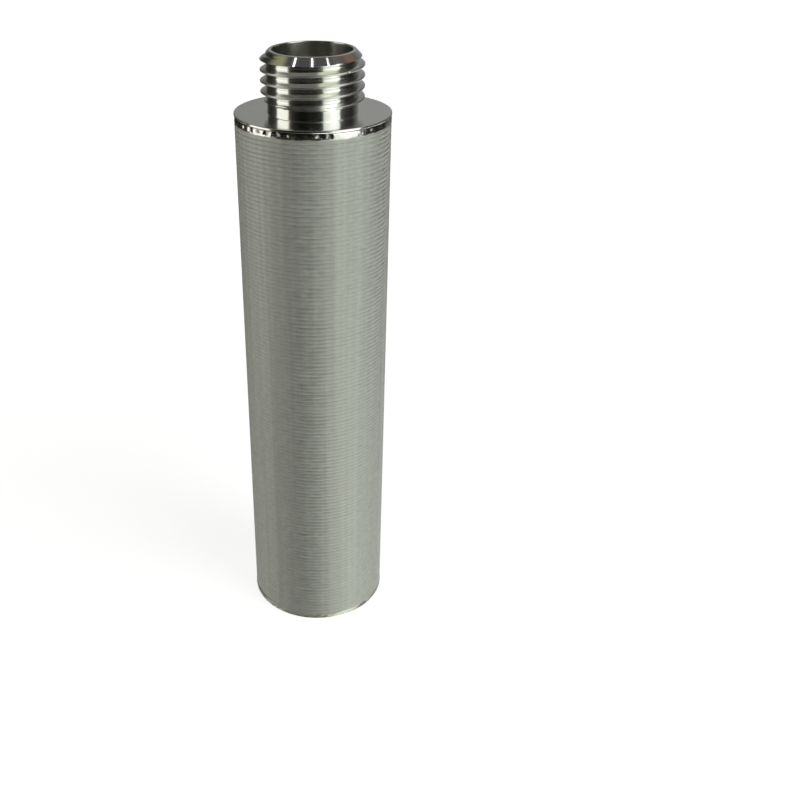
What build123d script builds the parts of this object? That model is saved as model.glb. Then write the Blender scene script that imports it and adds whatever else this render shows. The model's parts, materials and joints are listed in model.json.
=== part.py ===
from build123d import *
import math
import os

# A wire-wound dust filter element: one profile wire wound as a close helix on straight support
# rods, a threaded end fitting on top and a blind cap at the foot, all welded into one piece.
# Millimetres. The origin is the centre of the foot, and +Z runs up the axis to the thread.

# The whole element, from the foot to the shoulder and over the crests of the wire
body_diameter = 30.6
body_length = 115.0

# Wound profile wire
wire_pitch = 0.85
wire_height = 1.5
crown_height = 0.12

# Support rods inside the winding
rod_count = 20
rod_height = 2.1
rod_base_width = 1.5
rod_tip_width = 0.5
rod_corner_radius = 0.25

# Blind cap at the foot
cap_rim_height = 0.95
cap_edge_radius = 0.35

# Flange of the end fitting
flange_rim_height = 1.5
flange_edge_radius = 0.15

# Plain step of each end piece that centres the ring of rods
register_height = 3.0
register_lead = 0.4
register_clearance = 0.1

# Neck of the end fitting, turned for an M20 x 2 thread
thread_diameter = 20.0
thread_flank_angle = 30.0
neck_height = 11.5
neck_land = 0.6
relief_diameter = 17.6
relief_height = 1.95
relief_corner_radius = 0.2
bore_diameter = 15.4

body_radius = body_diameter / 2
winding_inner_radius = body_radius - wire_height
rod_ring_radius = winding_inner_radius - rod_height
register_radius = rod_ring_radius - register_clearance
screen_bottom = cap_rim_height
screen_top = body_length - flange_rim_height
screen_length = screen_top - screen_bottom


def turned(outline):
    """Solid turned about the Z axis from a closed outline of radius and height."""
    with BuildPart() as blank:
        with BuildSketch(Plane.XZ):
            with BuildLine():
                Polyline(*outline, close=True)
            make_face()
        revolve(axis=Axis.Z)
    return blank.part


def edges_at(part, radius, height):
    """Round edges of a turned part that have one radius and lie at one height."""
    level = part.edges().filter_by(GeomType.CIRCLE).filter_by_position(Axis.Z, height - 1e-4, height + 1e-4)
    return [edge for edge in level if math.isclose(edge.radius, radius, abs_tol=1e-4)]


def wound_wire():
    """Screen wall of whole turns, each with a crowned face and a groove on either side of it."""
    turns = round(screen_length / wire_pitch)
    turn = screen_length / turns
    groove_radius = body_radius - crown_height
    outline = [(winding_inner_radius, screen_bottom), (groove_radius, screen_bottom)]
    for index in range(turns):
        outline.append((body_radius, screen_bottom + (index + 0.5) * turn))
        outline.append((groove_radius, screen_bottom + (index + 1) * turn))
    outline.append((winding_inner_radius, screen_top))
    return turned(outline)


def support_rod(angle):
    """Straight wedge rod, its narrow side welded to the wire and its broad side to the axis."""
    half_base = rod_base_width / 2
    half_tip = rod_tip_width / 2
    with BuildPart() as rod:
        with BuildSketch(Plane.XY.offset(screen_bottom)) as section:
            with BuildLine():
                Polyline(
                    (rod_ring_radius, -half_base),
                    (winding_inner_radius, -half_tip),
                    (winding_inner_radius, half_tip),
                    (rod_ring_radius, half_base),
                    close=True,
                )
            make_face()
            fillet(section.vertices().group_by(Axis.X)[0], rod_corner_radius)
            Circle(winding_inner_radius, mode=Mode.INTERSECT)
        extrude(amount=screen_length)
    return rod.part.rotate(Axis.Z, angle)


def blind_cap():
    """Disc that closes the foot, with a step that stands up inside the ring of rods."""
    top = cap_rim_height + register_height
    cap = turned(
        [
            (0, 0),
            (body_radius, 0),
            (body_radius, cap_rim_height),
            (register_radius, cap_rim_height),
            (register_radius, top - register_lead),
            (register_radius - register_lead, top),
            (0, top),
        ]
    )
    return fillet(edges_at(cap, body_radius, 0), cap_edge_radius)


def threaded_fitting():
    """Flange, step and neck turned from one bar, bored through from end to end."""
    thread_radius = thread_diameter / 2
    relief_radius = relief_diameter / 2
    bore_radius = bore_diameter / 2
    foot = screen_top - register_height
    relief_top = body_length + relief_height
    first_flank = (thread_radius - relief_radius) * math.tan(math.radians(thread_flank_angle))
    top = body_length + neck_height
    # The chamfer falls at 45 degrees from the flat land round the bore to the thread's crest
    chamfer = thread_radius - bore_radius - neck_land
    fitting = turned(
        [
            (bore_radius, foot),
            (register_radius - register_lead, foot),
            (register_radius, foot + register_lead),
            (register_radius, screen_top),
            (body_radius, screen_top),
            (body_radius, body_length),
            (relief_radius, body_length),
            (relief_radius, relief_top),
            (thread_radius, relief_top + first_flank),
            (thread_radius, top - chamfer),
            (thread_radius - chamfer, top),
            (bore_radius, top),
        ]
    )
    fitting = fillet(edges_at(fitting, body_radius, body_length), flange_edge_radius)
    return fillet(edges_at(fitting, relief_radius, body_length), relief_corner_radius)


os.makedirs("parts", exist_ok=True)
export_step(wound_wire(), "parts/wound_profile_wire.step")
export_step(blind_cap(), "parts/blind_end_cap.step")
export_step(threaded_fitting(), "parts/threaded_end_fitting.step")
for index in range(rod_count):
    export_step(support_rod(360 / rod_count * index), f"parts/support_rod_{index + 1:02d}.step")
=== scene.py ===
# Dresses a wire-wound filter element: the wound profile wire, the threaded end fitting, the
# welded foot cap and the support rods, in a small studio. Lengths are metres.
import json
import math

import bpy
from bpy.props import FloatProperty, FloatVectorProperty, IntProperty, PointerProperty
from mathutils import Matrix, Vector, noise


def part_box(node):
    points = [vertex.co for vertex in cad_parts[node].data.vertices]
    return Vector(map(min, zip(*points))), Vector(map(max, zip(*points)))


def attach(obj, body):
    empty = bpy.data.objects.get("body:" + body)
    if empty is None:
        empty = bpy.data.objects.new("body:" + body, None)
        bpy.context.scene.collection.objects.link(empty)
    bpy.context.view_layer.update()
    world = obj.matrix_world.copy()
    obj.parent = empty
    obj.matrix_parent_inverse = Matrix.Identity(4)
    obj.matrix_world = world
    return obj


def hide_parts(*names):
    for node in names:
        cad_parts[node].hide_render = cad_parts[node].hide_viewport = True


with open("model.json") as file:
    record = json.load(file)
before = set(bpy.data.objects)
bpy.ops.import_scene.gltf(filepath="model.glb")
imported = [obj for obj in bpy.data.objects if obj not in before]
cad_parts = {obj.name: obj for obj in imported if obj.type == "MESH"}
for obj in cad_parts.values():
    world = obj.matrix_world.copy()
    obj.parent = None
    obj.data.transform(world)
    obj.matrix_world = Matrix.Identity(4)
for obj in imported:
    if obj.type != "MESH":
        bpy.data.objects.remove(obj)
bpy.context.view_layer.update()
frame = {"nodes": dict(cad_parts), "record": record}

bl_info = {
    "name": "Wire-wound filter element",
    "version": (1, 0, 0),
    "blender": (4, 5, 0),
    "location": "View3D > Sidebar > Filter",
    "description": "Models the wire, the threaded fitting and the foot of a filter element",
    "category": "Add Mesh",
}

MM = 0.001

WIRE_NODE = "wound_profile_wire"
FITTING_NODE = "threaded_end_fitting"
CAP_NODE = "blind_end_cap"
ROD_PREFIX = "support_rod_"

MOUNTS = {mount["name"]: mount for mount in frame["record"]["mounts"]}
WIRE_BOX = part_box(WIRE_NODE)
FITTING_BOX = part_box(FITTING_NODE)
CAP_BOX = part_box(CAP_NODE)
BODY_RADIUS = FITTING_BOX[1].x
SHOULDER_HEIGHT = MOUNTS["shoulder_face"]["pos_m"][2]
THREAD_RADIUS = MOUNTS["neck_thread"]["dims"]["r_mm"] * MM
BORE_RADIUS = MOUNTS["neck_bore"]["dims"]["r_mm"] * MM


def length(name, description, default):
    """A length that a user can change, in metres."""
    return FloatProperty(
        name=name, description=description, default=default, unit="LENGTH", subtype="DISTANCE", precision=5
    )


def slant(name, description, degrees):
    """An angle that a user can change, given here in degrees."""
    return FloatProperty(
        name=name, description=description, default=math.radians(degrees), subtype="ANGLE", unit="ROTATION"
    )


def count(name, description, default, least):
    """A whole number that a user can change."""
    return IntProperty(name=name, description=description, default=default, min=least)


def share(name, description, default):
    """A number from 0 to 1."""
    return FloatProperty(name=name, description=description, default=default, subtype="FACTOR", min=0, max=1)


def metal_colour(name, description, default):
    """A linear colour for a metal."""
    return FloatVectorProperty(
        name=name, description=description, default=default, subtype="COLOR", size=3, min=0, max=1
    )


class WoundWireSettings(bpy.types.PropertyGroup):
    turns: count("Turns", "Turns of wire that show between the two rims", 132, 2)
    crest_inset: length("Crest inset", "How far the wire lies inside the rims", 0.06 * MM)
    wire_height: length("Wire height", "Radial height of the wire's section", 1.5 * MM)
    crown_height: length("Crown height", "Rise of the wire's face over its edges", 0.08 * MM)
    slot_width: length("Slot width", "Open gap between two turns", 0.04 * MM)
    melt_depth: length("Melt depth", "How far the end turns sink into the welds", 0.3 * MM)
    steps_a_turn: count("Steps a turn", "Points of the helix in one turn", 90, 12)
    face_points: count("Face points", "Points across the wire's face", 6, 3)
    unevenness: slant("Unevenness", "How far the wire leans one way or the other", 0.4)
    colour: metal_colour("Colour", "Colour of the drawn wire", (0.74, 0.755, 0.725))
    roughness: share("Roughness", "Roughness of the drawn wire", 0.7)


class EndFittingSettings(bpy.types.PropertyGroup):
    columns: count("Columns", "Points round each ring", 540, 36)
    thread_pitch: length("Thread pitch", "Rise of the thread in one turn", 2.0 * MM)
    thread_flank: slant("Thread flank", "Angle of a flank from the level plane", 30)
    crest_round: length("Crest rounding", "Radius of the thread's crest", 0.22 * MM)
    front_crest: length("Front crest", "Height of the front's lowest crest over the shoulder", 2.37 * MM)
    nick_height: length("Nick height", "Height of a nick in the thread over the shoulder", 8.55 * MM)
    nick_depth: length("Nick depth", "Depth of the nick", 0.22 * MM)
    relief_radius: length("Relief radius", "Radius of the plain stretch under the thread", 8.8 * MM)
    relief_height: length("Relief height", "Height of the plain stretch under the thread", 1.95 * MM)
    relief_round: length("Relief rounding", "Radius between the shoulder and the relief", 0.1 * MM)
    land_width: length("Land width", "Flat ring between the bore and the chamfer", 0.6 * MM)
    edge_break: length("Edge break", "Rounding of the land's two edges", 0.08 * MM)
    chamfer_slope: slant("Chamfer slope", "Angle of the chamfer from the axis", 45)
    rim_round: length("Rim rounding", "Radius of the flange's upper edge", 0.15 * MM)
    plain_rim: length("Plain rim", "Height of the turned stretch over the weld", 0.47 * MM)
    register_radius: length("Register radius", "Radius of the step inside the rods", 11.6 * MM)
    register_lead: length("Register lead", "Chamfer at the step's end", 0.4 * MM)
    weld_overlap: length("Weld overlap", "How far the weld runs over the wire at most", 0.55 * MM)
    weld_ripple: length("Weld ripple", "Depth of the lumps in the weld", 0.3 * MM)
    weld_scales: count("Weld scales", "Scales of the weld in one turn", 46, 1)
    weld_crease: length("Weld crease", "Depth of the crease between the weld and the plain rim", 0.22 * MM)
    colour: metal_colour("Colour", "Colour of the turned steel", (0.86, 0.86, 0.84))
    roughness: share("Roughness", "Roughness of the turned steel", 0.13)
    bore_colour: metal_colour("Bore colour", "Colour of the bored wall", (0.84, 0.83, 0.78))
    oxide_colour: metal_colour("Oxide colour", "Colour of the oxide in the weld", (0.16, 0.13, 0.1))
    bore_roughness: share("Bore roughness", "Roughness of the bored wall", 0.21)
    bead_roughness: share("Bead roughness", "Roughness of the weld bead", 0.22)
    crest_roughness: share("Crest roughness", "Roughness of the thread's crest", 0.5)
    rim_roughness: share("Rim roughness", "Roughness of the rim at the sides and the back", 0.42)
    toe_roughness: share("Toe roughness", "Roughness of the weld's edge on the wire", 0.72)


class FootCapSettings(bpy.types.PropertyGroup):
    rim_height: length("Rim height", "Height of the cap's rim", 0.95 * MM)
    rim_round: length("Rim rounding", "Radius of the cap's lower edge", 0.35 * MM)
    colour: metal_colour("Colour", "Colour of the cap", (0.6, 0.59, 0.57))
    roughness: share("Roughness", "Roughness of the cap's face", 0.36)
    rim_colour: metal_colour("Rim colour", "Colour of the welded rim", (0.86, 0.86, 0.84))
    rim_roughness: share("Rim roughness", "Roughness of the welded rim", 0.26)
    side_roughness: share("Side roughness", "Roughness of the rim at the sides and the back", 0.8)
    toe_roughness: share("Toe roughness", "Roughness of the weld's edge on the wire", 0.72)


class SupportRodSettings(bpy.types.PropertyGroup):
    colour: metal_colour("Colour", "Colour of the rods", (0.5, 0.5, 0.49))
    roughness: share("Roughness", "Roughness of the rods", 0.4)


class StudioSettings(bpy.types.PropertyGroup):
    camera_distance: length("Camera distance", "From the axis to the camera, along the floor", 196.58 * MM)
    camera_height: length("Camera height", "From the floor to the camera", 162.85 * MM)
    camera_pan: slant("Camera pan", "Turn to the right, away from the axis", 1.368)
    camera_tilt: slant("Camera tilt", "Turn down from the level", 29.706)
    lens: FloatProperty(
        name="Lens", description="Focal length of the lens", default=45.352,
        subtype="DISTANCE_CAMERA", unit="CAMERA",
    )
    shift: FloatProperty(
        name="Shift", description="How far the picture's centre lies right of the lens axis, in widths",
        default=0.0784, subtype="FACTOR",
    )
    floor_size: length("Floor size", "Side of the square floor", 12.0)


def add_node(tree, kind, inputs=None, **settings):
    """Adds a node, sets its settings, and fills its sockets with values or links."""
    node = tree.nodes.new(kind)
    for name, value in settings.items():
        setattr(node, name, value)
    for socket, value in (inputs or {}).items():
        if isinstance(value, bpy.types.NodeSocket):
            tree.links.new(value, node.inputs[socket])
        else:
            node.inputs[socket].default_value = value
    return node


def calculate(tree, operation, *values):
    """A Math node's result."""
    return add_node(tree, "ShaderNodeMath", dict(enumerate(values)), operation=operation).outputs[0]


def combined(tree, operation, first, *others):
    """Several values taken together, one after another, by the same operation."""
    for other in others:
        first = calculate(tree, operation, first, other)
    return first


def weighted_sum(tree, start, *pairs):
    """A start value with each pair's value, times its weight, added to it."""
    for value, weight in pairs:
        start = calculate(tree, "MULTIPLY_ADD", value, weight, start)
    return start


def scaled(tree, vector, factors):
    """A vector with each of its parts multiplied by its own factor."""
    return add_node(tree, "ShaderNodeVectorMath", {0: vector, 1: factors}, operation="MULTIPLY").outputs[0]


def separated(tree, vector):
    """The three parts of a vector."""
    return add_node(tree, "ShaderNodeSeparateXYZ", {0: vector}).outputs


def vector_of(tree, x=0.0, y=0.0, z=0.0):
    """A vector of three parts."""
    return add_node(tree, "ShaderNodeCombineXYZ", {0: x, 1: y, 2: z}).outputs[0]


def noise_value(tree, vector, scale, detail=2.0, roughness=0.5):
    """A noise from 0 to 1 over a vector. The scale is in waves to the metre."""
    inputs = {"Vector": vector, "Scale": scale, "Detail": detail, "Roughness": roughness}
    return add_node(tree, "ShaderNodeTexNoise", inputs).outputs["Fac"]


def stretched_noise(tree, vector, waves, detail=3.0):
    """A noise from 0 to 1 with its own waves to the metre along X, Y and Z."""
    return noise_value(tree, scaled(tree, vector, waves), 1.0, detail)


def remap(tree, value, low, high, to_low, to_high):
    """A value moved from one range to another, and held inside it."""
    inputs = {0: value, 1: low, 2: high, 3: to_low, 4: to_high}
    return add_node(tree, "ShaderNodeMapRange", inputs).outputs[0]


def blended(tree, factor, first, second):
    """A mix of two colours: the first where the factor is 0, and the second where it is 1."""
    # Inputs 6 and 7 and output 2 are a Mix node's sockets for colours
    inputs = {0: factor, 6: first, 7: second}
    return add_node(tree, "ShaderNodeMix", inputs, data_type="RGBA").outputs[2]


def tinted(tree, colour, amount, value):
    """A colour made a little darker and lighter by a value from 0 to 1."""
    low = [channel * (1 - amount) for channel in colour]
    high = [min(1.0, channel * (1 + amount)) for channel in colour]
    return blended(tree, value, (*low, 1), (*high, 1))


# Most of a noise lies between its low and its high value, and hardly any of it is further from its
# middle than its reach
NOISE_LOW, NOISE_HIGH = 0.3, 0.7
NOISE_MIDDLE, NOISE_REACH = 0.5, 0.25


def varied(tree, value, roughness, less, more):
    """A roughness that a noise moves between a little less and a little more."""
    return remap(tree, value, NOISE_LOW, NOISE_HIGH, roughness - less, roughness + more)


def bump_normal(tree, height, strength, distance, under=None):
    """The normal of a surface with a relief of that height, over another normal if there is one."""
    inputs = {"Height": height, "Strength": strength, "Distance": distance}
    if under is not None:
        inputs["Normal"] = under
    return add_node(tree, "ShaderNodeBump", inputs).outputs[0]


def new_material(name):
    """A material with a Principled shader. Returns it, its tree, its shader and its Object coordinates."""
    material = bpy.data.materials.new(name)
    material.use_nodes = True
    tree = material.node_tree
    tree.nodes.clear()
    shader = add_node(tree, "ShaderNodeBsdfPrincipled", {"Metallic": 1.0})
    add_node(tree, "ShaderNodeOutputMaterial", {"Surface": shader.outputs[0]})
    place = add_node(tree, "ShaderNodeTexCoord").outputs["Object"]
    return material, tree, shader, place


def dress(tree, shader, colour, roughness, normal):
    """Links a colour, a roughness and a normal to a shader."""
    for name, value in (("Base Color", colour), ("Roughness", roughness), ("Normal", normal)):
        tree.links.new(value, shader.inputs[name])


def drawn_wire_material(settings):
    """Satin drawn wire, with fine lines along it, a mottle and faint bands down the screen."""
    material, tree, shader, place = new_material("satin_drawn_wire")
    lines = stretched_noise(tree, place, waves=(120, 120, 9000))
    mottle = stretched_noise(tree, place, waves=(700, 700, 2400))
    bands = stretched_noise(tree, place, waves=(850, 850, 9))
    # About two thirds mottle and a third bands, with the middle kept near a half
    shade = weighted_sum(tree, -0.14, (mottle, 0.9), (bands, 0.48))
    colour = tinted(tree, settings.colour, amount=0.28, value=shade)
    roughness = varied(tree, mottle, settings.roughness, less=0.06, more=0.08)
    dress(tree, shader, colour, roughness, bump_normal(tree, lines, strength=0.35, distance=0.01 * MM))
    return material


def from_the_axis(tree, place):
    """The distance from the Z axis."""
    level = scaled(tree, place, (1, 1, 0))
    return add_node(tree, "ShaderNodeVectorMath", {0: level}, operation="LENGTH").outputs["Value"]


def round_the_axis(tree, place):
    """The direction that runs round the Z axis."""
    parts = separated(tree, place)
    return vector_of(tree, calculate(tree, "MULTIPLY", parts[1], -1.0), parts[0])


# The attribute that tells a weld bead from the turned faces, where it is 0. It is 1 at the bead's toe
# on the wire and falls towards the rim. The toe takes over from the bead between the two zone values.
WELD_ATTRIBUTE = "weld"
TOE_ZONE = (0.8, 0.86)


def weld_value(tree):
    """The attribute of the weld bead."""
    return add_node(tree, "ShaderNodeAttribute", attribute_name=WELD_ATTRIBUTE).outputs["Fac"]


def turned_steel_material(settings):
    """Bright turned steel, with fine rings from the tool, a lumpy weld bead and a duller rim behind."""
    material, tree, shader, place = new_material("bright_turned_steel")
    right, back, height = separated(tree, place)
    radius = from_the_axis(tree, place)
    weld = weld_value(tree)
    wipes = noise_value(tree, place, scale=260.0, detail=3.0)
    # Zones of the radius in which one finish gives way to the next
    bore_zone = (BORE_RADIUS + 0.02 * MM, BORE_RADIUS + 0.08 * MM)
    valley_zone = (BODY_RADIUS - 0.2 * MM, BODY_RADIUS - 0.1 * MM)
    crest_zone = (THREAD_RADIUS - 0.16 * MM, THREAD_RADIUS - 0.06 * MM)
    rim_zone = (BODY_RADIUS - 0.3 * MM, BODY_RADIUS - 0.2 * MM)
    # Zones of the weld value over which the bead's reach, its polish and its lumps begin at the rim
    reach_zone = (0.0, 0.05)
    bead_zone = (0.02, 0.08)
    lump_zone = (0.0, 0.08)

    bored = remap(tree, radius, *bore_zone, 1.0, 0.0)
    turned_colour = tinted(tree, settings.colour, amount=0.04, value=wipes)
    bore_colour = tinted(tree, settings.bore_colour, amount=0.06, value=wipes)
    # Oxide lies in the valleys of the weld and in the crease over it
    most_oxide = 0.8
    oxide = combined(
        tree, "MULTIPLY",
        remap(tree, radius, *valley_zone, most_oxide, 0.0),
        calculate(tree, "GREATER_THAN", radius, BODY_RADIUS - 0.5 * MM),
        calculate(tree, "LESS_THAN", height, SHOULDER_HEIGHT - settings.plain_rim + 0.1 * MM),
    )
    metal = blended(tree, bored, turned_colour, bore_colour)
    colour = blended(tree, oxide, metal, (*settings.oxide_colour, 1))

    # The die leaves the crest of the thread rougher than its flanks
    crest = remap(tree, radius, *crest_zone, 0.0, settings.crest_roughness)
    over_shoulder = calculate(tree, "GREATER_THAN", height, SHOULDER_HEIGHT + 0.5 * MM)

    # The plain rim is bright at the front alone, turned a little to the left, and its weld further back
    front_zone = (-10.5 * MM, -10.1 * MM)
    front_slant = 0.105
    weld_reach = 5.3 * MM
    further = remap(tree, weld, *reach_zone, 0.0, weld_reach)
    depth = weighted_sum(tree, back, (right, front_slant), (further, -1.0))
    behind = remap(tree, depth, *front_zone, 0.0, 1.0)
    outside = remap(tree, radius, *rim_zone, 0.0, settings.rim_roughness)
    roughness = combined(
        tree, "MAXIMUM",
        varied(tree, wipes, settings.roughness, less=0.03, more=0.04),
        remap(tree, weld, *bead_zone, 0.0, settings.bead_roughness),
        calculate(tree, "MULTIPLY", bored, settings.bore_roughness),
        calculate(tree, "MULTIPLY", crest, over_shoulder),
        remap(tree, weld, *TOE_ZONE, 0.0, settings.toe_roughness),
        calculate(tree, "MULTIPLY", behind, outside),
    )

    rings = noise_value(tree, vector_of(tree, radius, height), scale=9000.0, detail=4.0, roughness=0.6)
    turned = bump_normal(tree, rings, strength=0.1, distance=0.008 * MM)
    bead = remap(tree, weld, *lump_zone, 0.0, 1.0)
    lumps = calculate(tree, "MULTIPLY", noise_value(tree, place, scale=1500.0), bead)
    welded = bump_normal(tree, lumps, strength=0.8, distance=0.06 * MM, under=turned)
    dress(tree, shader, colour, roughness, welded)
    # The tool's grooves run round the axis and scatter the light across them, a quarter turn away
    shader.inputs["Anisotropic"].default_value = 0.7
    shader.inputs["Anisotropic Rotation"].default_value = 0.25
    tree.links.new(round_the_axis(tree, place), shader.inputs["Tangent"])
    return material


def cap_material(settings):
    """Matt blasted cap face with a fine mottle, and a welded rim: bright at the front, with painted shade at
    the sides and back.
    """
    material, tree, shader, place = new_material("matt_cap_steel")
    mottle = noise_value(tree, place, scale=700.0, detail=4.0)
    grain = noise_value(tree, place, scale=9000.0)
    weld = weld_value(tree)
    # Where the face gives way to the rim by its weld value, and the bright front to the shaded, rougher
    # sides
    rim_zone = (0.03, 0.1)
    front_zone = (-10.5 * MM, -8 * MM)
    rim = remap(tree, weld, *rim_zone, 0.0, 1.0)
    back = separated(tree, place)[1]
    # Painted shade: at the sides and the back the rim takes the face's darker colour in place of its own
    shaded_sides = calculate(tree, "MULTIPLY", rim, remap(tree, back, *front_zone, 0.0, 1.0))
    bright = calculate(tree, "SUBTRACT", rim, shaded_sides)
    face_colour = tinted(tree, settings.colour, amount=0.08, value=mottle)
    colour = blended(tree, bright, face_colour, (*settings.rim_colour, 1))
    face_roughness = varied(tree, mottle, settings.roughness, less=0.08, more=0.1)
    roughness = combined(
        tree, "MAXIMUM",
        remap(tree, bright, 0.0, 1.0, face_roughness, settings.rim_roughness),
        remap(tree, weld, *TOE_ZONE, 0.0, settings.toe_roughness),
        calculate(tree, "MULTIPLY", shaded_sides, settings.side_roughness),
    )
    dress(tree, shader, colour, roughness, bump_normal(tree, grain, strength=0.3, distance=0.01 * MM))
    return material


def rod_material(settings):
    """Plain drawn rods, with lines along their length."""
    material, tree, shader, place = new_material("plain_rod_steel")
    lines = stretched_noise(tree, place, waves=(6000, 6000, 60))
    colour = tinted(tree, settings.colour, amount=0.08, value=lines)
    roughness = varied(tree, lines, settings.roughness, less=0.05, more=0.08)
    dress(tree, shader, colour, roughness, bump_normal(tree, lines, strength=0.3, distance=0.01 * MM))
    return material


# The end turns sink in from the first of these heights past the winding's end to the second
MELT_ZONE = (-0.35 * MM, 0.1 * MM)


def wire_tree(settings, material):
    """Geometry nodes that wind a wedge wire with a crowned face on a helix."""
    tree = bpy.data.node_groups.new("Wound profile wire", "GeometryNodeTree")
    tree.interface.new_socket("Mesh", in_out="OUTPUT", socket_type="NodeSocketGeometry")
    values = {}

    def named_input(name, kind, value):
        socket = tree.interface.new_socket(name, in_out="INPUT", socket_type="NodeSocket" + kind)
        values[socket.identifier] = value

    lead = (WIRE_BOX[1].z - WIRE_BOX[0].z) / settings.turns
    # Half a turn more at either end runs on into the welds
    named_input("Turns", "Float", settings.turns + 1.0)
    named_input("Lead", "Float", lead)
    named_input("Start Height", "Float", WIRE_BOX[0].z - lead / 2)
    named_input("Crest Radius", "Float", BODY_RADIUS - settings.crest_inset)
    named_input("Wire Height", "Float", settings.wire_height)
    named_input("Wire Width", "Float", lead - settings.slot_width)
    named_input("Crown Height", "Float", settings.crown_height)
    named_input("Steps a Turn", "Int", settings.steps_a_turn)
    named_input("Face Points", "Int", settings.face_points)
    named_input("Unevenness", "Float", settings.unevenness)
    named_input("Lowest", "Float", WIRE_BOX[0].z)
    named_input("Highest", "Float", WIRE_BOX[1].z)
    named_input("Melt Depth", "Float", settings.melt_depth)
    named_input("Material", "Material", material)

    given = add_node(tree, "NodeGroupInput").outputs
    # The section is a sector of a circle: its arc is the crowned face, its centre the edge on the rods
    crown = calculate(tree, "DIVIDE", given["Crown Height"], given["Wire Height"])
    half_angle = calculate(tree, "ARCCOSINE", calculate(tree, "SUBTRACT", 1.0, crown))
    arc = add_node(tree, "GeometryNodeCurveArc", {
        "Resolution": given["Face Points"],
        "Radius": given["Wire Height"],
        "Start Angle": calculate(tree, "MULTIPLY", half_angle, -1.0),
        "Sweep Angle": calculate(tree, "MULTIPLY", half_angle, 2.0),
        "Connect Center": True,
    }, mode="RADIUS")
    chord = combined(tree, "MULTIPLY", given["Wire Height"], 2.0, calculate(tree, "SINE", half_angle))
    widening = calculate(tree, "DIVIDE", given["Wire Width"], chord)
    section = add_node(tree, "GeometryNodeTransform", {
        "Geometry": arc.outputs["Curve"], "Scale": vector_of(tree, 1.0, widening, 1.0),
    })

    foot_radius = calculate(tree, "SUBTRACT", given["Crest Radius"], given["Wire Height"])
    helix = add_node(tree, "GeometryNodeCurveSpiral", {
        "Resolution": given["Steps a Turn"],
        "Rotations": given["Turns"],
        "Start Radius": foot_radius,
        "End Radius": foot_radius,
        "Height": calculate(tree, "MULTIPLY", given["Turns"], given["Lead"]),
        "Reverse": True,
    })
    raised = add_node(tree, "GeometryNodeTransform", {
        "Geometry": helix.outputs[0], "Translation": vector_of(tree, z=given["Start Height"]),
    })
    place = add_node(tree, "GeometryNodeInputPosition").outputs[0]
    # The first and the last turn melted into the welds, so they sink under the beads
    height = separated(tree, place)[2]
    over = calculate(tree, "SUBTRACT", height, given["Highest"])
    under = calculate(tree, "SUBTRACT", given["Lowest"], height)
    melted = remap(tree, calculate(tree, "MAXIMUM", over, under), *MELT_ZONE, 0.0, 1.0)
    depth = combined(tree, "MULTIPLY", melted, given["Melt Depth"], -1.0)
    sink = calculate(tree, "DIVIDE", depth, foot_radius)
    sunk = add_node(tree, "GeometryNodeSetPosition", {
        "Geometry": raised.outputs[0], "Offset": scaled(tree, place, vector_of(tree, sink, sink)),
    })
    level = add_node(tree, "GeometryNodeSetCurveNormal", {"Curve": sunk.outputs[0]}, mode="Z_UP")
    # Each stretch of the wire leans a little one way or the other
    wander = stretched_noise(tree, place, waves=(80, 80, 900), detail=2.0)
    swing = calculate(tree, "DIVIDE", calculate(tree, "SUBTRACT", wander, NOISE_MIDDLE), NOISE_REACH)
    lean = calculate(tree, "MULTIPLY", swing, given["Unevenness"])
    leaning = add_node(tree, "GeometryNodeSetCurveTilt", {"Curve": level.outputs[0], "Tilt": lean})
    wire = add_node(tree, "GeometryNodeCurveToMesh", {
        "Curve": leaning.outputs[0], "Profile Curve": section.outputs[0], "Fill Caps": True,
    })
    smooth = add_node(tree, "GeometryNodeSetShadeSmooth", {"Geometry": wire.outputs[0]})
    whole = add_node(tree, "GeometryNodeRealizeInstances", {"Geometry": smooth.outputs[0]})
    finished = add_node(
        tree, "GeometryNodeSetMaterial", {"Geometry": whole.outputs[0], "Material": given["Material"]}
    )
    add_node(tree, "NodeGroupOutput", {0: finished.outputs[0]})
    return tree, values


def add_object(name, data):
    """A new object in the scene."""
    made = bpy.data.objects.new(name, data)
    bpy.context.scene.collection.objects.link(made)
    return made


def meshed(name, tree, values):
    """A new object whose mesh is what the node tree makes, with no modifier left on it."""
    scaffold = add_object(name + "_nodes", bpy.data.meshes.new(name + "_nodes"))
    modifier = scaffold.modifiers.new("Nodes", "NODES")
    modifier.node_group = tree
    for identifier, value in values.items():
        modifier[identifier] = value
    bpy.context.view_layer.update()
    evaluated = scaffold.evaluated_get(bpy.context.evaluated_depsgraph_get())
    mesh = bpy.data.meshes.new_from_object(evaluated)
    mesh.name = name
    bpy.data.objects.remove(scaffold)
    return add_object(name, mesh)


# Edges that turn by more than this look sharp: on the turned pieces, and on the wire
SHARP_TURNED = math.radians(32)
SHARP_WIRE = math.radians(35)


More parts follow.
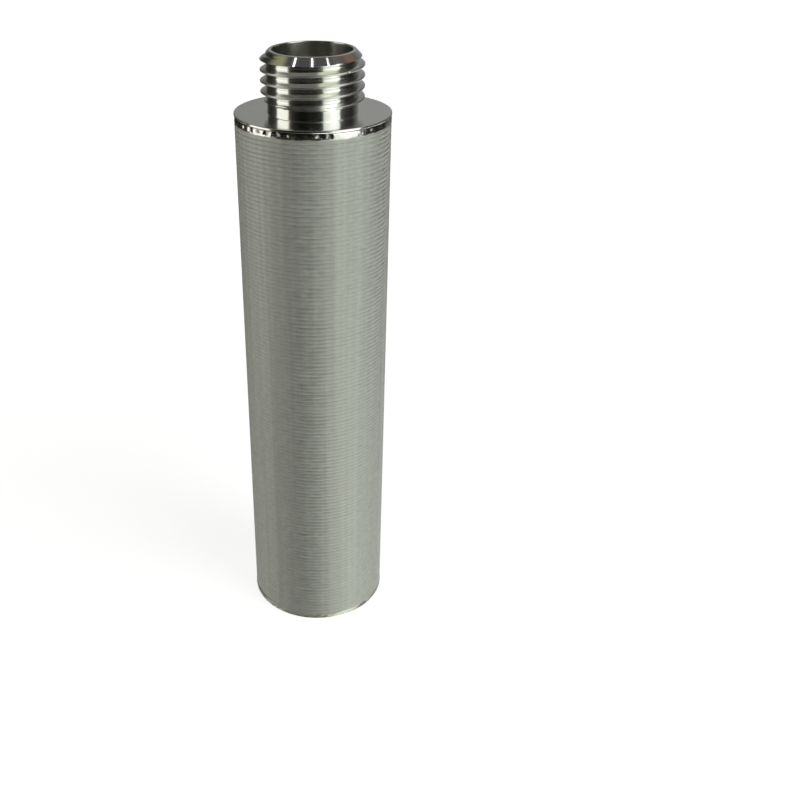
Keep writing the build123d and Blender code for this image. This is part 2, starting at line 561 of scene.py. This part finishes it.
class RingMesh:
    """Points in rings round the Z axis, and the faces between them."""

    def __init__(self, columns):
        self.columns = columns
        self.points = []
        self.faces = []
        self.weld = {}

    def angle(self, column):
        """The angle of a column round the axis."""
        return 2 * math.pi * column / self.columns

    def point(self, radius, turn, height):
        """Adds a point and returns its number."""
        self.points.append((radius * math.cos(turn), radius * math.sin(turn), height))
        return len(self.points) - 1

    def ring(self, radius_and_height):
        """Adds a ring. The argument gives the radius and the height at an angle, or is one such pair."""
        numbers = []
        for column in range(self.columns):
            turn = self.angle(column)
            pair = radius_and_height(turn) if callable(radius_and_height) else radius_and_height
            numbers.append(self.point(pair[0], turn, pair[1]))
        return numbers

    def face(self, *corners):
        """Adds a face, unless so many of its corners fall together that none is left."""
        kept = list(dict.fromkeys(corners))
        if len(kept) > 2:
            self.faces.append(kept)

    def skin(self, first, second):
        """Faces from one ring to the next. They look outwards where the second ring is the upper one."""
        for column in range(self.columns):
            after = (column + 1) % self.columns
            self.face(first[column], first[after], second[after], second[column])

    def fan(self, ring, middle):
        """Faces from a ring to a point on the axis. They look up where the ring runs anticlockwise."""
        for column in range(self.columns):
            self.face(ring[column], ring[(column + 1) % self.columns], middle)

    def chain(self, last, pairs):
        """Adds rings, each skinned to the one before it, and returns the last."""
        for pair in pairs:
            ring = self.ring(pair)
            self.skin(last, ring)
            last = ring
        return last

    def bead(self, last, bead_ring, parts, fall):
        """Adds the rings of a weld bead, and returns the last. The weld value falls from 1 at the toe."""
        for part in parts:
            ring = self.ring(bead_ring(part))
            self.weld.update(dict.fromkeys(ring, 1 - fall * part))
            self.skin(last, ring)
            last = ring
        return last

    def mesh(self, name, material):
        """The finished mesh, with the weld values as an attribute of its points."""
        made = bpy.data.meshes.new(name)
        made.from_pydata(self.points, [], self.faces)
        made.validate()
        made.shade_smooth()
        made.set_sharp_from_angle(angle=SHARP_TURNED)
        made.materials.append(material)
        weld = made.attributes.new(WELD_ATTRIBUTE, "FLOAT", "POINT")
        weld.data.foreach_set("value", [self.weld.get(index, 0.0) for index in range(len(self.points))])
        return made


def arc_points(centre, radius, start, end, steps):
    """Pairs of radius and height along an arc in the section's plane. The angles are degrees."""
    pairs = []
    for step in range(steps + 1):
        angle = math.radians(start + (end - start) * step / steps)
        pairs.append((centre[0] + radius * math.cos(angle), centre[1] + radius * math.sin(angle)))
    return pairs


# Steps of a rounding and of a flank in the thread's section
ROUND_STEPS = 3
FLANK_STEPS = 6


def thread_section(settings):
    """Points of one pitch of the thread, from the bottom of a root to the next: height and depth."""
    pitch = settings.thread_pitch
    flank = settings.thread_flank
    depth = THREAD_RADIUS - settings.relief_radius
    crest = settings.crest_round
    # A rounding ends this many times its radius short of where the two flanks would meet
    short = 1 / math.sin(flank) - 1
    root = (pitch / 2 / math.tan(flank) - depth) / short - crest
    angles = [(math.pi / 2 - flank) * step / ROUND_STEPS for step in range(ROUND_STEPS + 1)]
    root_arc = [(root * math.sin(angle), depth - root * (1 - math.cos(angle))) for angle in angles]
    crest_arc = [
        (pitch / 2 - crest * math.sin(angle), crest * (1 - math.cos(angle))) for angle in reversed(angles)
    ]
    low, high = root_arc[-1], crest_arc[0]
    straight = []
    for step in range(1, FLANK_STEPS):
        part = step / FLANK_STEPS
        straight.append((low[0] + (high[0] - low[0]) * part, low[1] + (high[1] - low[1]) * part))
    points = root_arc + straight + crest_arc
    mirrored = [(pitch - height, below) for height, below in reversed(points[1:-1])]
    return points + mirrored


# A small nick in a crest of the thread: its place round the axis, and its half width
NICK_TURN = math.radians(-48.25)
NICK_RADIUS = 0.17 * MM


def neck_thread_rings(rings, settings, low, high, envelope, bottom):
    """Skins the thread between two heights, from the ring at its bottom, and returns the ring on top.

    The rows of points follow the helix and end at the two level rings.
    """
    section = thread_section(settings)
    rows = len(section)
    columns = rings.columns
    pitch = settings.thread_pitch
    # Height of a root at angle 0, so that a crest has its given height at the front, a quarter turn back
    first_root = SHOULDER_HEIGHT + settings.front_crest + pitch / 4 - pitch / 2
    start_turn = math.floor((low - first_root) / pitch) - 1
    end_turn = math.ceil((high - first_root) / pitch) + 1
    total = (end_turn - start_turn) * rows

    def uncut(row, column):
        """Height and radius of a point of the whole thread."""
        turn, part = divmod(row, rows)
        height, depth = section[part]
        return first_root + (start_turn + turn + column / columns) * pitch + height, THREAD_RADIUS - depth

    def nicked(column, height, radius):
        """The radius inside the turned blank, less the nick."""
        along = (rings.angle(column) - NICK_TURN + math.pi) % (2 * math.pi) - math.pi
        apart = math.hypot(along * THREAD_RADIUS, height - SHOULDER_HEIGHT - settings.nick_height)
        nick = settings.nick_depth * math.exp(-((apart / NICK_RADIUS) ** 2))
        return min(radius, envelope(height)) - nick

    # Each column's points, and its first and last row between the two heights
    grid = []
    top = []
    for column in range(columns):
        line = [uncut(row, column) for row in range(total)]
        between = [row for row, pair in enumerate(line) if low < pair[0] < high]
        last = between[-1]
        grid.append((line, between[0], last))
        # The ring on top cuts the thread between that last row and the next
        under, over = line[last], line[last + 1]
        part = (high - under[0]) / (over[0] - under[0])
        radius = min(under[1] + (over[1] - under[1]) * part, envelope(high))
        top.append(rings.point(radius, rings.angle(column), high))
    points = {}

    def point(row, column):
        if column == columns:
            # After a turn, a row has risen to where the row one pitch higher began
            return point(row + rows, 0)
        line, first, last = grid[column]
        if row < first:
            return bottom[column]
        if row > last:
            return top[column]
        if (row, column) not in points:
            height, radius = line[row]
            radius = nicked(column, height, radius)
            points[row, column] = rings.point(radius, rings.angle(column), height)
        return points[row, column]

    for column in range(columns):
        after = column + 1
        for row in range(total - rows - 1):
            rings.face(point(row, column), point(row, after), point(row + 1, after), point(row + 1, column))
    return top


# The weld's noise: its coarse and its fine share, where the fine noise is read, and how far the two
# together mostly reach to either side of 0
COARSE_SHARE, FINE_SHARE = 0.65, 0.35
FINE_START = Vector((7.3, 1.9, 4.1))
RIPPLE_REACH = 0.6
# The weld ran calmly on one stretch, to the right of the front: its middle, the cosine from there at
# which its lumps begin to fade, the cosine's way until they have faded, and how much of them goes
CALM_WELD = math.radians(-63.2)
CALM_COSINE = 0.957
CALM_FADE = 0.018
CALM_SHARE = 0.96
# Where one scale of the weld meets the next, and how far the noise bends the line between them
FIRST_SCALE = math.radians(-132.5)
SCALE_BEND = 0.5
# How much of a lump's depth the noise and the scales make
NOISE_LUMPS, SCALE_LUMPS = 0.5, 0.6
# The toe of the bead is a thin film on the wire: its share of the bead's height, its depth under the
# body's radius, how much deeper it gets over a whole bead's height, and its least share of the overlap
TOE_SHARE = 0.14
TOE_DEPTH = 0.05 * MM
TOE_LEAN = 0.5 * MM
TOE_LEAST = 0.35
# How fast the bead swells from its toe and from the rim: less is faster
TOE_SWELL, RIM_SWELL = 0.7, 0.85
# The bead's crests lie this far under the body's radius
BEAD_INSET = 0.005 * MM
# Lumps may be deeper from this far past the wire's end, by this much for each length further
SOLID_START = 0.05 * MM
ROOM_GAIN = 2 / 3
# The bead's hidden inner edge: its depth at the wire's end, and its depth and height at the toe
INNER_DEPTH = 0.4 * MM
TOE_INNER_DEPTH = 0.35 * MM
TOE_THICKNESS = 0.06 * MM


def clamped(value):
    """A value held between 0 and 1."""
    return min(1.0, max(0.0, value))


def rippled(turn, height, coarse, fine):
    """A seamless noise round the body, with coarse ripples and finer ones."""
    place = Vector((math.cos(turn), math.sin(turn), height / BODY_RADIUS))
    return COARSE_SHARE * noise.noise(place * coarse) + FINE_SHARE * noise.noise(place * fine + FINE_START)


def ripple_share(turn, height, coarse, fine):
    """The same noise as a share of about 0 to 1."""
    return 0.5 + 0.5 * rippled(turn, height, coarse, fine) / RIPPLE_REACH


def weld_toe(settings, wire_end, side, noise_height):
    """A function that gives the height of a bead's toe at an angle.

    The side is 1 where the wire lies over its end, and -1 where it lies under it.
    """

    def toe(turn):
        swing = clamped(ripple_share(turn, noise_height, coarse=9.0, fine=24.0))
        return wire_end + side * settings.weld_overlap * (TOE_LEAST + (1 - TOE_LEAST) * swing)

    return toe


def weld_bead(settings, toe, rim, wire_end, crease, lumpiness):
    """A function that gives the ring of a bead at a share of the way from its toe to the rim.

    The crease is how deep the bead ends at the rim, and the lumpiness the share of its lumps that it has.
    """
    away = 1 if rim > wire_end else -1

    def lumps(turn, height):
        """How deep the valley between the lumps is at a place, as a share of the weld's ripple."""
        ripple = max(0.0, ripple_share(turn, height, coarse=8.0, fine=27.0))
        bend = SCALE_BEND * rippled(turn, height, coarse=3.0, fine=14.0)
        scale = abs(math.sin(settings.weld_scales / 2 * (turn - FIRST_SCALE) + bend))
        calm = clamped((math.cos(turn - CALM_WELD) - CALM_COSINE) / CALM_FADE)
        return (NOISE_LUMPS * ripple + SCALE_LUMPS * (1 - scale)) * lumpiness * (1 - CALM_SHARE * calm)

    def bead_ring(part):
        def pair(turn):
            low = toe(turn)
            height = low + (rim - low) * part
            if part < TOE_SHARE:
                return BODY_RADIUS - TOE_DEPTH - TOE_LEAN * (TOE_SHARE - part), height
            across = (part - TOE_SHARE) / (1 - TOE_SHARE)
            ends, swelling = (TOE_DEPTH, TOE_SWELL) if across < 0.5 else (crease, RIM_SWELL)
            swell = math.sin(math.pi * across) ** swelling
            depth = ends * (1 - swell) + settings.weld_ripple * lumps(turn, height) * swell
            # Over the wire the bead is a thin film, and over the solid rim its lumps may be deeper
            past_wire = max(0.0, (height - wire_end) * away - SOLID_START)
            return BODY_RADIUS - BEAD_INSET - min(depth, TOE_DEPTH + past_wire * ROOM_GAIN), height

        return pair

    return bead_ring


def rim_and_relief(settings, relief_parts):
    """Pairs of radius and height from the weld's crease over rim and shoulder up the plain relief."""
    shoulder = SHOULDER_HEIGHT
    crease = shoulder - settings.plain_rim
    corner = (BODY_RADIUS - settings.rim_round, shoulder - settings.rim_round)
    inner = (settings.relief_radius + settings.relief_round, shoulder + settings.relief_round)
    # The plain rim comes out of the crease in two steps
    pairs = [(BODY_RADIUS - 0.06 * MM, crease + 0.05 * MM), (BODY_RADIUS, crease + 0.13 * MM)]
    pairs += arc_points(corner, settings.rim_round, 0, 90, steps=5)
    # The flat has rings from a little inside its outer edge to a little outside its inner one
    flat_start, flat_end = corner[0] - 0.65 * MM, inner[0] + 1.0 * MM
    flat_steps = 5
    for step in range(flat_steps + 1):
        pairs.append((flat_start + (flat_end - flat_start) * step / flat_steps, shoulder))
    pairs += arc_points(inner, settings.relief_round, 270, 180, steps=4)
    pairs += [(settings.relief_radius, shoulder + settings.relief_height * part) for part in relief_parts]
    return pairs


def land_and_bore(settings, foot, top):
    """Pairs of radius and height from the chamfer's end over the flat land and down the bore."""
    edge = settings.edge_break
    slope = math.tan(settings.chamfer_slope)
    land_radius = BORE_RADIUS + settings.land_width
    # The chamfer's end, the land between its two broken edges, and the bore
    return [
        (land_radius + edge * 2 * slope, top - edge * 2),
        (land_radius + edge * 0.9 * slope, top - edge * 0.9),
        (land_radius - edge * 0.2, top - edge * 0.25),
        (land_radius - edge * 1.2, top),
        (BORE_RADIUS + edge, top),
        (BORE_RADIUS + edge * 0.3, top - edge * 0.3),
        (BORE_RADIUS, top - edge),
        (BORE_RADIUS, top - edge * 3),
        *[(BORE_RADIUS, top - (top - foot) * part) for part in (0.1, 0.3, 0.5, 0.7, 0.9)],
    ]


# Steps of the two beads, from the toe to the rim
FITTING_BEAD_STEPS = 20
CAP_BEAD_STEPS = 14


def end_fitting_mesh(settings, material):
    """The fitting as one closed mesh: step, weld, rim, shoulder, relief, thread, chamfer, land and bore."""
    rings = RingMesh(settings.columns)
    foot, top = FITTING_BOX[0].z, FITTING_BOX[1].z
    wire_top = WIRE_BOX[1].z
    lead = settings.register_lead
    relief_top = SHOULDER_HEIGHT + settings.relief_height

    def envelope(height):
        """Radius of the turned blank that the thread is cut into."""
        run_in = settings.relief_radius + max(0.0, height - relief_top) / math.tan(settings.thread_flank)
        chamfer = BORE_RADIUS + settings.land_width + (top - height) * math.tan(settings.chamfer_slope)
        return min(THREAD_RADIUS, run_in, chamfer)

    toe = weld_toe(settings, wire_top, side=-1, noise_height=0.0)
    crease = SHOULDER_HEIGHT - settings.plain_rim
    bead_ring = weld_bead(settings, toe, crease, wire_top, settings.weld_crease, lumpiness=1.0)
    bore_foot = rings.ring((BORE_RADIUS, foot))
    last = rings.chain(bore_foot, [
        (settings.register_radius - lead, foot),
        (settings.register_radius, foot + lead),
        (settings.register_radius, wire_top),
        (BODY_RADIUS - INNER_DEPTH, wire_top),
        lambda turn: (BODY_RADIUS - TOE_INNER_DEPTH, toe(turn) + TOE_THICKNESS),
    ])
    parts = [step / FITTING_BEAD_STEPS for step in range(FITTING_BEAD_STEPS + 1)]
    last = rings.bead(last, bead_ring, parts, fall=1.0)
    # Level rings on the relief, as shares of its height. The thread's rows begin at the last of them.
    relief_parts = (0.4, 0.7)
    last = rings.chain(last, rim_and_relief(settings, relief_parts))
    thread_low = SHOULDER_HEIGHT + settings.relief_height * relief_parts[-1]
    # The thread's rows end on the chamfer, a little under the broken edge of the land
    thread_high = top - settings.edge_break * 4
    last = neck_thread_rings(rings, settings, thread_low, thread_high, envelope, last)
    last = rings.chain(last, land_and_bore(settings, foot, top))
    rings.skin(last, bore_foot)
    return rings.mesh("end_fitting_turned", material)


def foot_cap_mesh(settings, fitting, material):
    """The cap as one closed mesh: face, rounded edge, rim with its weld, and the step inside the rods."""
    rings = RingMesh(fitting.columns)
    foot, top = CAP_BOX[0].z, CAP_BOX[1].z
    rim_top = foot + settings.rim_height
    edge = settings.rim_round
    toe = weld_toe(fitting, rim_top, side=1, noise_height=0.05)
    bead_ring = weld_bead(fitting, toe, foot + edge, rim_top, crease=0.02 * MM, lumpiness=0.3)
    centre = rings.point(0, 0, foot)
    face_radius = BODY_RADIUS - edge
    first_part, *face_parts = (0.12, 0.4, 0.7, 1.0)
    last = rings.ring((face_radius * first_part, foot))
    rings.fan(last[::-1], centre)
    last = rings.chain(last, [(face_radius * part, foot) for part in face_parts])
    # The arc's two ends are the face's edge and the bead's rim
    last = rings.chain(last, arc_points((face_radius, foot + edge), edge, 270, 360, steps=6)[1:-1])
    # The whole rim is weld, so its weld value doesn't fall to 0
    parts = [step / CAP_BEAD_STEPS for step in range(CAP_BEAD_STEPS, -1, -1)]
    last = rings.bead(last, bead_ring, parts, fall=0.9)
    last = rings.chain(last, [
        lambda turn: (BODY_RADIUS - TOE_INNER_DEPTH, toe(turn) - TOE_THICKNESS),
        (BODY_RADIUS - INNER_DEPTH, rim_top),
        (fitting.register_radius, rim_top),
        (fitting.register_radius, top - fitting.register_lead),
        (fitting.register_radius - fitting.register_lead, top),
        (fitting.register_radius * 0.5, top),
        (fitting.register_radius * 0.1, top),
    ])
    rings.fan(last, rings.point(0, 0, top))
    return rings.mesh("foot_cap_welded", material)


def seat(piece, node):
    """Puts a finished piece on the body in a CAD node's stead."""
    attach(piece, "root")
    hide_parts(node)


class FILTER_OT_wound_wire(bpy.types.Operator):
    """Wind the profile wire of the screen"""

    bl_idname = "filter.wound_wire"
    bl_label = "Wound wire"

    def execute(self, context):
        settings = context.scene.wound_wire
        material = drawn_wire_material(settings)
        tree, values = wire_tree(settings, material)
        wire = meshed("profile_wire_helix", tree, values)
        if not wire.data.polygons:
            raise RuntimeError("the wire has no faces")
        wire.data.set_sharp_from_angle(angle=SHARP_WIRE)
        seat(wire, WIRE_NODE)
        return {"FINISHED"}


class FILTER_OT_end_fitting(bpy.types.Operator):
    """Turn the end fitting with its thread, and weld it to the wire"""

    bl_idname = "filter.end_fitting"
    bl_label = "Threaded end fitting"

    def execute(self, context):
        settings = context.scene.end_fitting
        mesh = end_fitting_mesh(settings, turned_steel_material(settings))
        seat(add_object(mesh.name, mesh), FITTING_NODE)
        return {"FINISHED"}


class FILTER_OT_foot_cap(bpy.types.Operator):
    """Close the foot with its welded cap"""

    bl_idname = "filter.foot_cap"
    bl_label = "Foot cap"

    def execute(self, context):
        settings = context.scene.foot_cap
        mesh = foot_cap_mesh(settings, context.scene.end_fitting, cap_material(settings))
        seat(add_object(mesh.name, mesh), CAP_NODE)
        return {"FINISHED"}


class FILTER_OT_support_rods(bpy.types.Operator):
    """Give the support rods their finish"""

    bl_idname = "filter.support_rods"
    bl_label = "Support rods"

    def execute(self, context):
        material = rod_material(context.scene.support_rods)
        rods = [node for name, node in frame["nodes"].items() if name.startswith(ROD_PREFIX)]
        if not rods:
            raise RuntimeError("the frame has no support rods")
        for rod in rods:
            rod.data.materials.clear()
            rod.data.materials.append(material)
        return {"FINISHED"}


# What surrounds the object, from the ground up. A ring lists degrees to the right of the camera's
# side, and the light there. At the object's height two tall soft lights stand between dark walls,
# with a grey wall behind.
NADIR_LIGHT = (
    (-180, (0.1, 0.1, 0.096)),
    (-120, (0.1, 0.1, 0.096)),
    (-60, (0.18, 0.18, 0.17)),
    (0, (0.7, 0.7, 0.67)),
    (60, (3.05, 3.1, 3.0)),
    (120, (2.75, 2.8, 2.7)),
    (180, (1.9, 1.93, 1.87)),
)
GROUND_LIGHT = (
    (-180, (1.01, 1.01, 0.99)),
    (-150, (1.15, 1.15, 1.12)),
    (-122, (0.2, 0.195, 0.18)),
    (-104, (0.2, 0.193, 0.163)),
    (-62, (0.2, 0.196, 0.16)),
    (-48, (0.2, 0.195, 0.17)),
    (12, (0.2, 0.195, 0.17)),
    (24, (0.76, 0.8, 0.6)),
    (68, (0.8, 0.84, 0.66)),
    (78, (0.15, 0.15, 0.135)),
    (108, (0.15, 0.15, 0.145)),
    (125, (2.75, 2.8, 2.7)),
    (150, (3.05, 3.1, 3.0)),
    (180, (2.3, 2.33, 2.27)),
)
WALL_LIGHT = (
    (-180, (0.28, 0.28, 0.27)),
    (-165, (0.2, 0.2, 0.19)),
    (-150, (0.04, 0.037, 0.033)),
    (-127, (0.018, 0.016, 0.014)),
    (-112, (0.05, 0.045, 0.038)),
    (-103, (0.12, 0.11, 0.09)),
    (-100, (1.25, 1.235, 1.15)),
    (-66, (1.2, 1.2, 1.1)),
    (-62, (0.09, 0.08, 0.06)),
    (-50, (0.014, 0.012, 0.011)),
    (-33, (0.003, 0.003, 0.003)),
    (-12, (0.003, 0.003, 0.003)),
    (-6, (0.014, 0.011, 0.009)),
    (3, (0.006, 0.006, 0.005)),
    (18, (0.016, 0.02, 0.016)),
    (24, (0.06, 0.07, 0.055)),
    (28, (0.85, 0.9, 0.78)),
    (50, (1.3, 1.33, 1.28)),
    (69, (1.22, 1.27, 1.16)),
    (73, (0.07, 0.075, 0.06)),
    (90, (0.02, 0.02, 0.02)),
    (115, (0.016, 0.015, 0.014)),
    (126, (0.05, 0.05, 0.05)),
    (142, (0.13, 0.13, 0.13)),
    (160, (0.23, 0.235, 0.235)),
    (173, (0.3, 0.3, 0.3)),
    (180, (0.28, 0.28, 0.27)),
)
UPPER_LIGHT = (
    (-180, (0.5, 0.5, 0.49)),
    (-158, (0.4, 0.4, 0.39)),
    (-148, (0.05, 0.048, 0.045)),
    (-132, (0.06, 0.057, 0.045)),
    (-120, (0.27, 0.27, 0.155)),
    (-94, (0.27, 0.27, 0.16)),
    (-88, (0.04, 0.04, 0.036)),
    (0, (0.05, 0.05, 0.047)),
    (20, (0.2, 0.21, 0.19)),
    (40, (2.0, 2.05, 1.96)),
    (60, (2.75, 2.8, 2.7)),
    (65, (2.65, 2.7, 2.6)),
    (71, (1.25, 1.28, 1.23)),
    (86, (1.2, 1.23, 1.18)),
    (92, (0.1, 0.1, 0.1)),
    (110, (0.07, 0.07, 0.07)),
    (118, (0.19, 0.128, 0.085)),
    (137, (0.19, 0.128, 0.085)),
    (143, (0.1, 0.1, 0.1)),
    (158, (0.4, 0.4, 0.39)),
    (180, (0.5, 0.5, 0.49)),
)
TOP_LIGHT = (
    (-180, (0.07, 0.07, 0.068)),
    (180, (0.07, 0.07, 0.068)),
)
# The strongest light that a ring can have: its colours are kept as shares of it
LIGHT_PEAK = 3.2
# Sines of the elevations between which one ring gives way to the next
RING_LIMITS = ((-0.87, -0.8), (-0.5, -0.42), (0.44, 0.52), (0.78, 0.85))


def light_ring(tree, azimuth, stops):
    """A colour for each direction round the object, as shares of the brightest light."""
    ring = add_node(tree, "ShaderNodeValToRGB", {0: remap(tree, azimuth, -math.pi, math.pi, 0.0, 1.0)})
    ramp = ring.color_ramp
    # A new ramp comes with two elements, and the first stop takes the one that is left
    ramp.elements.remove(ramp.elements[1])
    for index, (angle, colour) in enumerate(stops):
        position = (angle + 180) / 360
        element = ramp.elements[0] if index == 0 else ramp.elements.new(position)
        element.position = position
        element.color = (*[channel / LIGHT_PEAK for channel in colour], 1)
    return ring.outputs[0]


def studio_world():
    """White to the camera, and rings of light and dark to everything else."""
    world = bpy.data.worlds.new("studio")
    world.use_nodes = True
    tree = world.node_tree
    tree.nodes.clear()
    direction = add_node(tree, "ShaderNodeTexCoord").outputs["Generated"]
    right, back, up = separated(tree, direction)
    azimuth = calculate(tree, "ARCTAN2", right, calculate(tree, "MULTIPLY", back, -1.0))
    whole = light_ring(tree, azimuth, NADIR_LIGHT)
    for limits, stops in zip(RING_LIMITS, (GROUND_LIGHT, WALL_LIGHT, UPPER_LIGHT, TOP_LIGHT)):
        share_above = remap(tree, up, *limits, 0.0, 1.0)
        whole = blended(tree, share_above, whole, light_ring(tree, azimuth, stops))
    lit = add_node(tree, "ShaderNodeBackground", {"Color": whole, "Strength": LIGHT_PEAK})
    white = add_node(tree, "ShaderNodeBackground", {"Color": (1, 1, 1, 1), "Strength": 1.0})
    path = add_node(tree, "ShaderNodeLightPath").outputs
    seen = add_node(
        tree, "ShaderNodeMixShader", {0: path["Is Camera Ray"], 1: lit.outputs[0], 2: white.outputs[0]}
    )
    add_node(tree, "ShaderNodeOutputWorld", {"Surface": seen.outputs[0]})
    bpy.context.scene.world = world


# The floor's pale colour, and the glow that only the camera sees, which takes it up to white
FLOOR_COLOUR = (0.85, 0.85, 0.85, 1)
FLOOR_GLOW = 0.78


def studio_floor(settings):
    """A pale floor that keeps the shadow."""
    half = settings.floor_size / 2
    corners = [(-half, -half, 0), (half, -half, 0), (half, half, 0), (-half, half, 0)]
    mesh = bpy.data.meshes.new("studio_floor")
    mesh.from_pydata(corners, [], [(0, 1, 2, 3)])
    material = bpy.data.materials.new("pale_floor")
    material.use_nodes = True
    tree = material.node_tree
    tree.nodes.clear()
    paper = add_node(tree, "ShaderNodeBsdfDiffuse", {"Color": FLOOR_COLOUR})
    path = add_node(tree, "ShaderNodeLightPath").outputs
    strength = calculate(tree, "MULTIPLY", path["Is Camera Ray"], FLOOR_GLOW)
    glow = add_node(tree, "ShaderNodeEmission", {"Color": (1, 1, 1, 1), "Strength": strength})
    both = add_node(tree, "ShaderNodeAddShader", {0: paper.outputs[0], 1: glow.outputs[0]})
    add_node(tree, "ShaderNodeOutputMaterial", {"Surface": both.outputs[0]})
    mesh.materials.append(material)
    floor = add_object("studio_floor", mesh)
    floor.visible_glossy = False


def studio_camera(settings):
    """The camera, standing on the side of minus Y."""
    data = bpy.data.cameras.new("camera")
    data.lens = settings.lens
    data.shift_x = settings.shift
    data.sensor_width = 36.0
    data.clip_start = 0.01
    data.clip_end = 50.0
    camera = add_object("camera", data)
    camera.matrix_world = (
        Matrix.Translation((0, -settings.camera_distance, settings.camera_height))
        @ Matrix.Rotation(-settings.camera_pan, 4, "Z")
        @ Matrix.Rotation(math.pi / 2 - settings.camera_tilt, 4, "X")
    )
    bpy.context.scene.camera = camera


# Small lamps overhead: degrees to the right of the camera's side, degrees up, and watts
STUDIO_LAMPS = ((-81, 66, 0.016), (-1, 79, 0.014), (71, 67, 0.014))
# Their diameter, and how far they stand from the middle of the shoulder
LAMP_SIZE = 0.018
LAMP_DISTANCE = 0.6


def studio_lamps():
    """Small lamps that draw streaks on the turned faces."""
    target = Vector((0, 0, SHOULDER_HEIGHT))
    for index, (azimuth, elevation, power) in enumerate(STUDIO_LAMPS):
        side, up = math.radians(azimuth), math.radians(elevation)
        back = Vector((math.sin(side) * math.cos(up), -math.cos(side) * math.cos(up), math.sin(up)))
        data = bpy.data.lights.new(f"lamp_{index}", "AREA")
        data.shape = "DISK"
        data.size = LAMP_SIZE
        data.energy = power
        lamp = add_object(f"lamp_{index}", data)
        turn = back.to_track_quat("Z", "Y").to_matrix().to_4x4()
        lamp.matrix_world = Matrix.Translation(target + back * LAMP_DISTANCE) @ turn


class FILTER_OT_studio(bpy.types.Operator):
    """Set up the camera, the floor and the light"""

    bl_idname = "filter.studio"
    bl_label = "Studio"

    def execute(self, context):
        settings = context.scene.studio
        studio_world()
        studio_floor(settings)
        studio_camera(settings)
        studio_lamps()
        context.scene.view_settings.view_transform = "Standard"
        return {"FINISHED"}


SETTINGS = (
    ("wound_wire", WoundWireSettings, FILTER_OT_wound_wire),
    ("end_fitting", EndFittingSettings, FILTER_OT_end_fitting),
    ("foot_cap", FootCapSettings, FILTER_OT_foot_cap),
    ("support_rods", SupportRodSettings, FILTER_OT_support_rods),
    ("studio", StudioSettings, FILTER_OT_studio),
)


class FILTER_PT_element(bpy.types.Panel):
    """Sizes, finishes and steps of the filter element"""

    bl_idname = "FILTER_PT_element"
    bl_label = "Filter element"
    bl_space_type = "VIEW_3D"
    bl_region_type = "UI"
    bl_category = "Filter"

    def draw(self, context):
        for name, group, operator in SETTINGS:
            box = self.layout.box()
            box.operator(operator.bl_idname)
            for field in group.__annotations__:
                box.prop(getattr(context.scene, name), field)


def register():
    for name, group, operator in SETTINGS:
        bpy.utils.register_class(group)
        bpy.utils.register_class(operator)
        setattr(bpy.types.Scene, name, PointerProperty(type=group))
    bpy.utils.register_class(FILTER_PT_element)


def unregister():
    bpy.utils.unregister_class(FILTER_PT_element)
    for name, group, operator in reversed(SETTINGS):
        delattr(bpy.types.Scene, name)
        bpy.utils.unregister_class(operator)
        bpy.utils.unregister_class(group)


def main():
    register()
    bpy.ops.filter.studio()
    bpy.ops.filter.wound_wire()
    bpy.ops.filter.end_fitting()
    bpy.ops.filter.foot_cap()
    bpy.ops.filter.support_rods()


if __name__ == "__main__":
    main()
